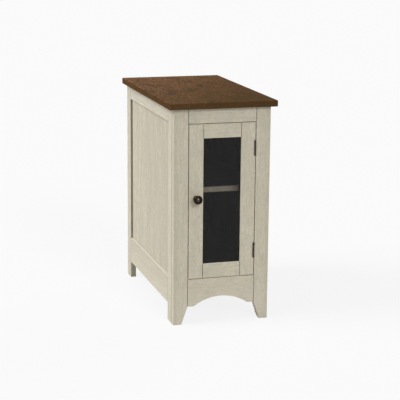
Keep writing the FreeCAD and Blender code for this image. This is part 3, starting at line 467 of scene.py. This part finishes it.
def dark_stain(grain, raw_rear=False):
    """Near-black stain with the grain just showing. A raw rear shows plain hardboard instead."""
    stain = Recipe(f"dark_stain_{grain.lower()}")
    streaks = stain.noise(across(grain, 240, 6), detail=4, roughness=0.6)
    pores = stain.noise(across(grain, 1200, 30), detail=2)
    colour = stain.tinted(STAIN, (STAIN_PALE, streaks, 0.4, 0.65))
    if raw_rear:
        pulp = stain.noise((240, 240, 240), detail=4)
        board = stain.tinted(HARDBOARD, (HARDBOARD_DARK, pulp, 0.35, 0.65))
        colour = stain.tinted(colour, (board, stain.normal[1], 0.4, 0.6))
    height = stain.calculate("ADD", streaks, pores)
    roughness = stain.levels(streaks, 0.3, 0.7, 0.5, 0.62)
    return stain.finish(colour, roughness, height, 0.1 * MM, specular=0.2)


def bare_wood(grain):
    """Sawn softwood with growth rings."""
    wood = Recipe(f"bare_wood_{grain.lower()}")
    rings = wood.noise(across(grain, 130, 4), detail=3, distortion=0.5)
    saw = wood.noise(across(grain, 60, 900), detail=2)
    colour = wood.tinted(PINE, (PINE_DARK, rings, 0.4, 0.62))
    height = wood.calculate("ADD", rings, saw)
    roughness = wood.levels(saw, 0.3, 0.7, 0.6, 0.8)
    return wood.finish(colour, roughness, height, 0.2 * MM, specular=0.3)


def metal(name, colour, rubbed, roughness, wear):
    """Plated metal, brighter where its edges are rubbed, with fine scratches and dull patches."""
    plate = Recipe(name)
    patches = plate.noise((260, 260, 260), detail=4)
    scratches = plate.noise((2600, 2600, 160), detail=3)
    edges = plate.calculate("MULTIPLY", plate.near_edges(0.5 * MM, 0.03, 0.4),
                            plate.levels(patches, 0.35, 0.6, 0.3, wear))
    colour = plate.tinted(colour, (rubbed, patches, 0.45, 0.7, 0, 0.3))
    colour = plate.blend(edges, colour, rubbed)
    height = plate.calculate("ADD", patches, scratches)
    shine = plate.levels(patches, 0.3, 0.7, roughness - 0.06, roughness + 0.08)
    return plate.finish(colour, shine, height, 0.03 * MM, metallic=0.85)


def knob_bronze():
    """Antique bronze of the knob: blackened in its hollow and on its rim, rubbed on its boss."""
    bronze = Recipe("dark_bronze")
    x, y, _ = bronze.split(bronze.place)
    squares = [bronze.calculate("MULTIPLY", item, item) for item in (x, y)]
    from_axis = bronze.calculate("SQRT", bronze.calculate("ADD", *squares))
    relief = bronze.noise((520, 520, 520), detail=3, roughness=0.6)
    scratches = bronze.noise((2600, 2600, 400), detail=3)
    boss = bronze.levels(from_axis, BOSS + 0.6 * MM, BOSS - 0.2 * MM)
    edges = bronze.calculate("MULTIPLY", bronze.near_edges(0.6 * MM, 0.03, 0.4),
                             bronze.levels(relief, 0.45, 0.6, 0, 0.7))
    rubbed = bronze.tinted(BRONZE, (BRONZE_RUBBED, relief, 0.42, 0.6))
    colour = bronze.blend(bronze.calculate("MAXIMUM", boss, edges), BRONZE_BLACK, rubbed)
    height = bronze.calculate("ADD", relief, scratches)
    shine = bronze.levels(relief, 0.3, 0.7, 0.24, 0.15)
    return bronze.finish(colour, shine, height, 0.05 * MM, metallic=0.85)


def moulded_plastic():
    plastic = Recipe("catch_plastic")
    spark = plastic.noise((900, 900, 900), detail=2)
    flow = plastic.noise((60, 20, 60), detail=2)
    colour = plastic.tinted(PLASTIC, (PLASTIC_PALE, flow, 0.4, 0.6))
    return plastic.finish(colour, plastic.levels(spark, 0.3, 0.7, 0.45, 0.6), spark, 0.05 * MM)


def clear_glass():
    """A faintly grey pane. To a lamp it is a plain filter, so light reaches the shelf."""
    glass = Recipe("clear_glass")
    ripple = glass.noise((9, 9, 9), detail=1)
    dust = glass.noise((700, 700, 700), detail=3)
    tint = glass.tinted(PANE, (PANE_DUSTY, dust, 0.4, 0.8))
    material = glass.finish(tint, 0.0, ripple, 0.02 * MM)
    glass.feed(glass.surface.inputs["Transmission Weight"], 1.0)
    glass.feed(glass.surface.inputs["IOR"], PANE_IOR)
    clear = glass.add("BsdfTransparent")
    glass.feed(clear.inputs["Color"], PANE_SHADOW)
    shader = glass.mixed(glass.add("LightPath").outputs["Is Shadow Ray"],
                         glass.surface.outputs[0], clear.outputs[0])
    glass.feed(glass.tree.nodes["Material Output"].inputs["Surface"], shader)
    return material


def floor_white():
    """Seamless studio floor, very slightly uneven."""
    ground = Recipe("studio_floor")
    unevenness = ground.noise((1.2, 1.2, 1.2), detail=3)
    tone = ground.tinted(FLOOR_COLOUR, (FLOOR_DULL, unevenness, 0.3, 0.7))
    material = ground.finish(tone, 0.9, specular=0.0)
    glow = ground.add("Emission")
    ground.feed(glow.inputs["Strength"], WHITE)
    shader = ground.mixed(ground.calculate("MULTIPLY", ground.seen(), FLOOR_GLOW),
                          ground.surface.outputs[0], glow.outputs[0])
    ground.feed(ground.tree.nodes["Material Output"].inputs["Surface"], shader)
    return material


# ---- turned and screwed pieces ----

def new_object(name, mesh):
    piece = bpy.data.objects.new(name, mesh)
    bpy.context.scene.collection.objects.link(piece)
    return piece


def mesh_of(name, build, material):
    """A smooth-shaded mesh from a function that fills a bmesh."""
    mesh = bpy.data.meshes.new(name)
    shape = bmesh.new()
    build(shape)
    bmesh.ops.recalc_face_normals(shape, faces=shape.faces)
    for face in shape.faces:
        face.smooth = True
    shape.to_mesh(mesh)
    shape.free()
    mesh.materials.append(material)
    return mesh


def ring(shape, radius, height, count=SEGMENTS):
    """Vertices on a circle round the z axis."""
    turns = [2 * math.pi * step / count for step in range(count)]
    return [shape.verts.new((radius * math.cos(t), radius * math.sin(t), height)) for t in turns]


def join(shape, first, second):
    """Faces between two rings of as many vertices."""
    count = len(first)
    for i in range(count):
        j = (i + 1) % count
        shape.faces.new((first[i], first[j], second[j], second[i]))


def smooth_line(points, steps=4):
    """Points along a Catmull-Rom curve through the given ones."""
    padded = [points[0], *points, points[-1]]
    line = []
    for before, start, end, after in zip(padded, padded[1:], padded[2:], padded[3:]):
        for step in range(steps):
            t = step / steps
            line.append([
                0.5 * (2 * b + (c - a) * t + (2 * a - 5 * b + 4 * c - d) * t * t
                       + (3 * b - a - 3 * c + d) * t ** 3)
                for a, b, c, d in zip(before, start, end, after)])
    return [*line, points[-1]]


def turn(shape, profile):
    """Solid of revolution round z from (radius, height) pairs in millimetres, base to tip."""
    rings = [ring(shape, radius * MM, height * MM) for radius, height in profile]
    for first, second in zip(rings, rings[1:]):
        join(shape, first, second)
    shape.faces.new(rings[0])
    shape.faces.new(rings[-1])


def knob_profile(head, reach):
    """(radius, height) pairs in millimetres, for a head of that radius that far from the door."""
    foot = [(8, 0), (8, 1.0), (7.6, 1.7), (6.4, 2.1)]
    neck = [(5.0, 3.2), (4.5, 7.0), (5.2, 11.5), (8.2, 15.4)]
    rim = [(head - 1.0, 17.4), (head, 19.2), (head, 21.8), (head - 0.6, 23.4),
           (head - 1.8, reach - 0.6), (head - 3.2, reach - 0.5), (head - 4.6, reach - 1.2)]
    middle = BOSS / MM
    dish = [(middle + 1.4, reach - 2.6), (middle + 0.5, reach - 2.7)]
    boss = [(middle * share, reach - 2.3 * share ** 2)
            for share in (0.97, 0.8, 0.6, 0.4, 0.2, 0.04)]
    curve = smooth_line([*foot, *neck, *rim, *dish, *boss])
    return [(min(radius, head), min(height, reach)) for radius, height in curve]


def turned_knob(bronze):
    """Round knob: moulded foot, waisted neck, and a head with a rim, a sunk ring and a boss."""
    low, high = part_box("knob")
    profile = knob_profile((high.x - low.x) / MM / 2, (high.y - low.y) / MM)
    mesh = mesh_of("turned_knob", lambda shape: turn(shape, profile), bronze)
    knob = new_object("turned_knob", mesh)
    centre = (low + high) / 2
    knob.location = (centre.x, high.y, centre.z)
    knob.rotation_euler = (math.radians(90), 0, 0)
    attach(knob, "door")
    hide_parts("knob")


def cross_head(shape):
    """Screw head of radius 1 seated at z = 0, with a tapered cross recess."""
    outline = ((1, -0.3), (1, 0.05), (0.97, 0.11), (0.86, 0.19), (0.7, 0.22))
    rings = [ring(shape, radius, height, SCREW_SEGMENTS) for radius, height in outline]
    for first, second in zip(rings, rings[1:]):
        join(shape, first, second)
    arm, half, top, bottom, taper = 0.55, 0.11, 0.22, -0.15, 0.6
    cross = []
    for quarter in range(4):
        turned = Matrix.Rotation(quarter * math.pi / 2, 2)
        cross += [turned @ Vector(point) for point in ((arm, -half), (arm, half), (half, half))]
    mouth = [shape.verts.new((*point, top)) for point in cross]
    base = [shape.verts.new((*(taper * point), bottom)) for point in cross]
    join(shape, mouth, base)
    shape.faces.new(base)
    edges = []
    for loop in (rings[-1], mouth):
        edges += [shape.edges.get((a, b)) or shape.edges.new((a, b))
                  for a, b in zip(loop, [*loop[1:], loop[0]])]
    bmesh.ops.bridge_loops(shape, edges=edges)


def facing(towards):
    """Rotation that turns the z axis towards a direction."""
    return Vector(towards).to_track_quat("Z", "Y")


def inset(start, end, distance):
    """The places at a distance inside both ends of a span."""
    return start + distance, end - distance


def hinge_screws():
    """Two in each leaf: the frame's face left, the door's face right."""
    seats = []
    near, far = LEAF_ENDS
    for node, body, towards in (("hinge_frame_leaves", "cabinet", LEFT),
                                ("hinge_door_leaves", "door", RIGHT)):
        low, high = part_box(node)
        x, y = (low.x if towards == LEFT else high.x), high.y - LEAF_INSET
        seats += [Seat((x, y, z), towards, LEAF_SCREW, body, "bronze_steel")
                  for z in (low.z + near, low.z + far, high.z - far, high.z - near)]
    return seats


def catch_screws():
    """One in the strike plate on the door, and one in each ear of the catch."""
    low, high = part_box("strike_plate")
    middle = (low + high) / 2
    seats = [Seat((middle.x, high.y, middle.z), REARWARD, body="door")]
    low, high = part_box("catch_housing")
    y, z = (low.y + high.y) / 2, high.z - CATCH_EAR
    return seats + [Seat((x, y, z), DOWN) for x in inset(low.x, high.x, CATCH_INSET)]


def back_screws():
    """Three along each upright edge of the back panel."""
    low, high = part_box("back_panel")
    bottom, top = inset(low.z, high.z, END_INSET)
    return [Seat((x, high.y, z), REARWARD) for x in inset(low.x, high.x, BACK_INSET)
            for z in (bottom, (low.z + high.z) / 2, top)]


def cleat_screws():
    """Two in each cleat: sideways under the deck, upwards under the top."""
    seats = []
    for side, inward in (("left", RIGHT), ("right", LEFT)):
        low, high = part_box(f"deck_cleat_{side}")
        x, z = (high.x if inward == RIGHT else low.x), (low.z + high.z) / 2
        seats += [Seat((x, y, z), inward) for y in inset(low.y, high.y, END_INSET)]
        low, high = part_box(f"top_cleat_{side}")
        x = (low.x + high.x) / 2
        seats += [Seat((x, y, low.z), DOWN) for y in inset(low.y, high.y, END_INSET)]
    return seats


def screws(bronze, steel):
    """Heads of the small screws that hold hinges, strike, catch, back panel and cleats."""
    heads = {slot: mesh_of(f"cross_head_{slot}", cross_head, material)
             for slot, material in (("bronze_steel", bronze), ("plated_steel", steel))}
    seats = [*hinge_screws(), *catch_screws(), *back_screws(), *cleat_screws()]
    for number, (place, towards, radius, body, slot) in enumerate(seats):
        head = new_object(f"screw_head_{number:02d}", heads[slot])
        turned = Matrix.Rotation(math.radians(SCREW_TURN * number), 4, "Z")
        head.matrix_world = (Matrix.Translation(place) @ facing(towards).to_matrix().to_4x4()
                             @ turned @ Matrix.Scale(radius, 4))
        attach(head, body)


# ---- nodes of the model ----

def grain_of(name):
    """The axis that the grain runs along: a board's longest, or Z for those in UPRIGHT_GRAIN."""
    if any(fnmatchcase(name, pattern) for pattern in UPRIGHT_GRAIN):
        return "Z"
    low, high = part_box(name)
    extent = high - low
    return "XYZ"[max(range(3), key=lambda axis: extent[axis])]


def board_options(name):
    """What the finish of a board is told: its grain, and what its name adds."""
    options = {"grain": grain_of(name)}
    for pattern, added in BOARD_OPTIONS.items():
        if fnmatchcase(name, pattern):
            options.update(added)
    return options


def dress_nodes(bronze, hinge, steel):
    """Give every CAD node its finish. Boards with the same options share a material."""
    fixed = {
        "brown_top": brown_top(),
        "clear_glass": clear_glass(),
        "dark_bronze": bronze,
        "bronze_steel": hinge,
        "plated_steel": steel,
        "catch_plastic": moulded_plastic(),
    }
    by_grain = {"cream_paint": cream_paint, "dark_interior": dark_stain, "bare_wood": bare_wood}
    made = {}
    for name, node in cad.items():
        slot = slots[name]
        if slot in by_grain:
            options = board_options(name)
            key = (slot, *options.items())
            if key not in made:
                made[key] = by_grain[slot](**options)
            material = made[key]
        else:
            material = fixed[slot]
        node.data.materials.clear()
        node.data.materials.append(material)


# ---- studio ----

def light():
    """A world that lights softly and is seen as white, and the suns."""
    world = bpy.data.worlds.new("studio")
    bpy.context.scene.world = world
    world.use_nodes = True
    world.node_tree.nodes.clear()
    sky = Tree(world.node_tree)
    levels = []
    for level in (WORLD_LEVEL, WHITE):
        background = sky.add("Background")
        sky.feed(background.inputs["Color"], (1, 1, 1))
        sky.feed(background.inputs["Strength"], level)
        levels.append(background.outputs[0])
    sky.feed(sky.add("OutputWorld").inputs["Surface"], sky.mixed(sky.seen(), *levels))

    for name, sun in SUNS.items():
        lamp = bpy.data.lights.new(name, "SUN")
        lamp.energy = math.pi * sun["level"]
        lamp.angle = math.radians(sun["softness"])
        new_object(name, lamp).rotation_euler = facing(sun["towards"]).to_euler()


def floor():
    mesh = bpy.data.meshes.new("floor")
    half = FLOOR_SIZE / 2
    corners = [(x * half, y * half, 0) for x, y in ((-1, -1), (1, -1), (1, 1), (-1, 1))]
    mesh.from_pydata(corners, [], [(0, 1, 2, 3)])
    mesh.materials.append(floor_white())
    new_object("floor", mesh)


def place_camera():
    lens = bpy.data.cameras.new("camera")
    lens.lens, lens.sensor_width = LENS, SENSOR
    lens.clip_end = 2 * FLOOR_SIZE
    camera = new_object("camera", lens)
    turns = ((-CAMERA_YAW, "Z"), (90 - CAMERA_PITCH, "X"), (CAMERA_ROLL, "Z"))
    place = Matrix.Translation(CAMERA_PLACE)
    for angle, axis in turns:
        place = place @ Matrix.Rotation(math.radians(angle), 4, axis)
    camera.matrix_world = place
    bpy.context.scene.camera = camera


def main():
    bronze = knob_bronze()
    hinge = metal("bronze_steel", HINGE_BRONZE, HINGE_RUBBED, roughness=0.42, wear=0.5)
    steel = metal("plated_steel", ZINC, ZINC_RUBBED, roughness=0.30, wear=0.6)
    dress_nodes(bronze, hinge, steel)
    turned_knob(bronze)
    screws(hinge, steel)
    light()
    floor()
    place_camera()


main()
bpy.context.scene.view_settings.view_transform = "Standard"
